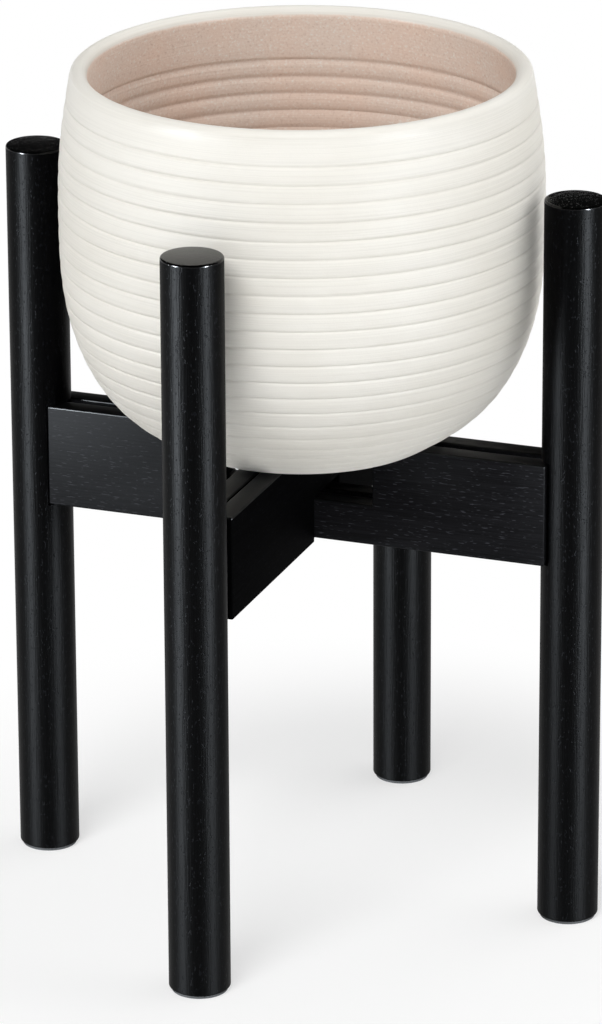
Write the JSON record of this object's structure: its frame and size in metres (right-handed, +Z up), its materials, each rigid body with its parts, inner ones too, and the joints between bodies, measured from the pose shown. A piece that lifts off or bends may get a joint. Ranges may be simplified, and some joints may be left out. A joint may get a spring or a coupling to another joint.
{
  "type": "plant stand with pot",
  "caption": "Adjustable wooden plant stand: round legs on sliding half-lapped cross boards that carry a round ridged stoneware pot between the leg tops.",
  "frame": {"origin": "on the floor, under the crossing of the cross boards", "axes": "+Z up, +X along the left and right boards towards the right leg, +Y along the front and back boards towards the back leg"},
  "size_m": [0.3264, 0.334, 0.451],
  "materials": {
    "black_lacquered_wood": "black satin lacquer over fine wood grain",
    "plain_beech": "plain, hidden in the joint",
    "pad_rubber": "matte black",
    "glazed_stoneware": "off-white glaze, glossy lip, pinkish beige inside"
  },
  "bodies": {
    "left_arm": {"leg_left": "black_lacquered_wood", "board_left": "black_lacquered_wood", "pad_left": "pad_rubber", "dowel_left_upper": "plain_beech", "dowel_left_lower": "plain_beech"},
    "right_arm": {"leg_right": "black_lacquered_wood", "board_right": "black_lacquered_wood", "pad_right": "pad_rubber", "dowel_right_upper": "plain_beech", "dowel_right_lower": "plain_beech"},
    "front_arm": {"leg_front": "black_lacquered_wood", "board_front": "black_lacquered_wood", "pad_front": "pad_rubber", "dowel_front_upper": "plain_beech", "dowel_front_lower": "plain_beech"},
    "back_arm": {"leg_back": "black_lacquered_wood", "board_back": "black_lacquered_wood", "pad_back": "pad_rubber", "dowel_back_upper": "plain_beech", "dowel_back_lower": "plain_beech"},
    "pot": {"pot": "glazed_stoneware"}
  },
  "joints": [
    {"name": "right_slide", "type": "slide", "parent": "left_arm", "child": "right_arm", "axis": [1, 0, 0], "range_m": [-0.001, 0.0312]},
    {"name": "front_slide", "type": "slide", "parent": "left_arm", "child": "front_arm", "axis": [0, -1, 0], "range_m": [-0.00425, 0.0002]},
    {"name": "back_slide", "type": "slide", "parent": "left_arm", "child": "back_arm", "axis": [0, 1, 0], "range_m": [-0.00425, 0.0002]},
    {"name": "pot_lift", "type": "slide", "parent": "left_arm", "child": "pot", "axis": [0, 0, 1], "range_m": [0, 0.16]}
  ]
}
